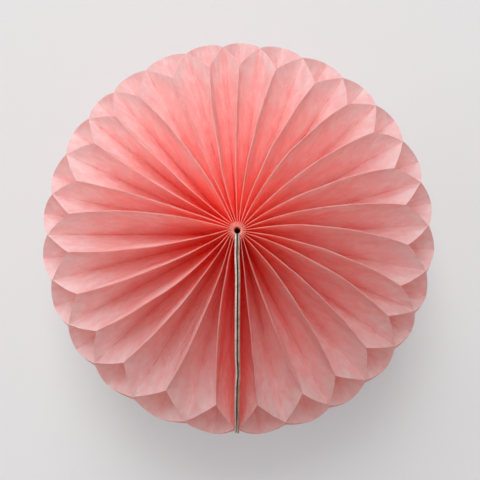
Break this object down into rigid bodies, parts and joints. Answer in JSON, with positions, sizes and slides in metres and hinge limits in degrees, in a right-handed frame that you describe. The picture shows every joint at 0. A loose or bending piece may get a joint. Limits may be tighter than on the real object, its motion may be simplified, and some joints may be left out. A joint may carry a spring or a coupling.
{
  "type": "honeycomb paper ball",
  "caption": "Honeycomb ball of pink tissue half discs glued in stripes, fanned open round a bound spine and closed between greyboard half discs, hung by the hole along its axis.",
  "frame": {"origin": "centre of the ball, on the axis of the hole through its spine", "axes": "+Z along the spine hole, towards the pole shown in the picture; the two boards stand on the -Y side"},
  "size_m": [0.1995, 0.1998, 0.2],
  "materials": {
    "tissue": "matt, thin and translucent",
    "greyboard": "matt recycled fibre",
    "bound_edge": "matt, stiff with glue",
    "tape": "matt double-sided tape"
  },
  "bodies": {
    "root": {"tissue_sheet_01": "tissue", "tissue_sheet_02": "tissue", "tissue_sheet_03": "tissue", "tissue_sheet_04": "tissue", "tissue_sheet_05": "tissue", "tissue_sheet_06": "tissue", "tissue_sheet_07": "tissue", "tissue_sheet_08": "tissue", "tissue_sheet_09": "tissue", "tissue_sheet_10": "tissue", "tissue_sheet_11": "tissue", "tissue_sheet_12": "tissue", "tissue_sheet_13": "tissue", "tissue_sheet_14": "tissue", "tissue_sheet_15": "tissue", "tissue_sheet_16": "tissue", "tissue_sheet_17": "tissue", "tissue_sheet_18": "tissue", "tissue_sheet_19": "tissue", "tissue_sheet_20": "tissue", "tissue_sheet_21": "tissue", "tissue_sheet_22": "tissue", "tissue_sheet_23": "tissue", "tissue_sheet_24": "tissue", "tissue_sheet_25": "tissue", "tissue_sheet_26": "tissue", "tissue_sheet_27": "tissue", "tissue_sheet_28": "tissue", "tissue_sheet_29": "tissue", "tissue_sheet_30": "tissue", "tissue_sheet_31": "tissue", "tissue_sheet_32": "tissue", "tissue_sheet_33": "tissue", "tissue_sheet_34": "tissue", "tissue_sheet_35": "tissue", "tissue_sheet_36": "tissue", "tissue_sheet_37": "tissue", "tissue_sheet_38": "tissue", "tissue_sheet_39": "tissue", "tissue_sheet_40": "tissue", "tissue_sheet_41": "tissue", "tissue_sheet_42": "tissue", "tissue_sheet_43": "tissue", "tissue_sheet_44": "tissue", "tissue_sheet_45": "tissue", "tissue_sheet_46": "tissue", "tissue_sheet_47": "tissue", "tissue_sheet_48": "tissue", "tissue_sheet_49": "tissue", "tissue_sheet_50": "tissue", "tissue_sheet_51": "tissue", "tissue_sheet_52": "tissue", "tissue_sheet_53": "tissue", "tissue_sheet_54": "tissue", "left_board": "greyboard", "right_board": "greyboard", "spine_binding": "bound_edge", "closing_tape": "tape"}
  },
  "joints": []
}
